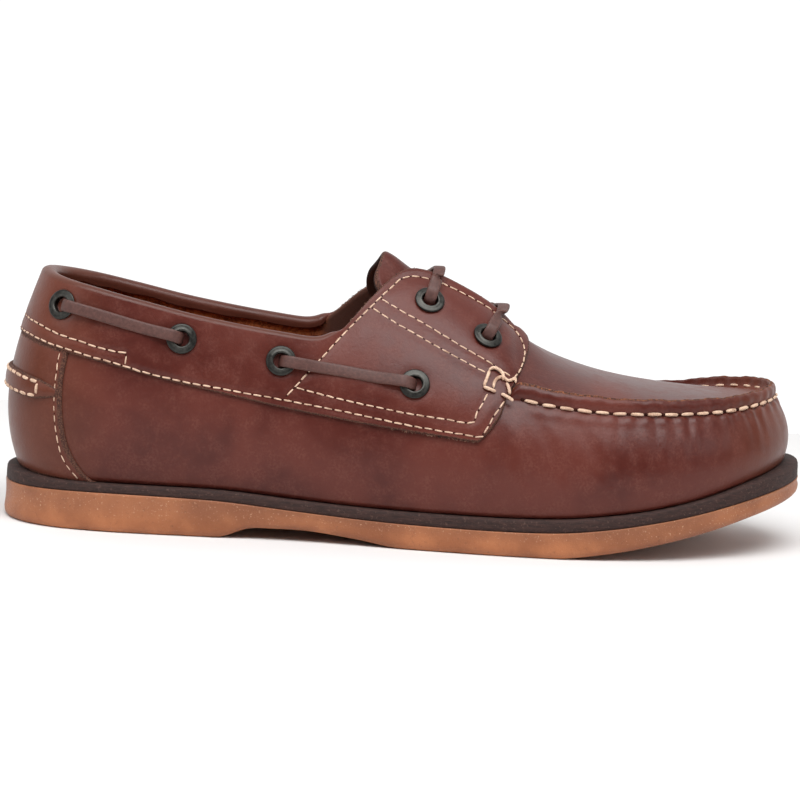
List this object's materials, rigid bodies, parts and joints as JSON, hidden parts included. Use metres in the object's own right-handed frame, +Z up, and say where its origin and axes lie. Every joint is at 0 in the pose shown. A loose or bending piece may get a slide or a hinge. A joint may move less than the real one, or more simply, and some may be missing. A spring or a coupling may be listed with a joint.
{
  "type": "boat shoe",
  "caption": "Low leather boat shoe with a moccasin toe, eyelets and flat lace round the collar, laced tongue and rubber sole; stands empty on its heel and forefoot.",
  "frame": {"origin": "centre of the footprint on the floor, under the soles", "axes": "+X from heel to toe, +Y to the big-toe side, +Z up"},
  "size_m": [0.3024, 0.1044, 0.1052],
  "materials": {
    "upper_leather": "oiled pull-up leather, soft sheen",
    "overlay_leather": "oiled pull-up leather with raw cut edges",
    "lace_leather": "matte flat-cut thong",
    "lining_suede": "short suede nap",
    "eyelet_metal": "dark antique plating, satin",
    "midsole_dark": "matte, fine grain",
    "outsole_rubber": "matte gum rubber with light flecks"
  },
  "bodies": {
    "root": {"outsole": "outsole_rubber", "midsole": "midsole_dark", "insole": "lining_suede", "upper": "upper_leather", "tongue": "upper_leather", "collar_band": "overlay_leather", "counter": "upper_leather", "heel_strap": "overlay_leather", "saddle_lateral": "overlay_leather", "saddle_medial": "overlay_leather", "lace_back_lateral": "lace_leather", "lace_side_lateral": "lace_leather", "lace_back_medial": "lace_leather", "lace_side_medial": "lace_leather", "lace_bar_top": "lace_leather", "lace_bar_low": "lace_leather", "eyelet_collar_back_lateral": "eyelet_metal", "eyelet_collar_side_lateral": "eyelet_metal", "eyelet_collar_front_lateral": "eyelet_metal", "eyelet_saddle_side_lateral": "eyelet_metal", "eyelet_throat_top_lateral": "eyelet_metal", "eyelet_throat_low_lateral": "eyelet_metal", "eyelet_collar_back_medial": "eyelet_metal", "eyelet_collar_side_medial": "eyelet_metal", "eyelet_collar_front_medial": "eyelet_metal", "eyelet_saddle_side_medial": "eyelet_metal", "eyelet_throat_top_medial": "eyelet_metal", "eyelet_throat_low_medial": "eyelet_metal"}
  },
  "joints": []
}
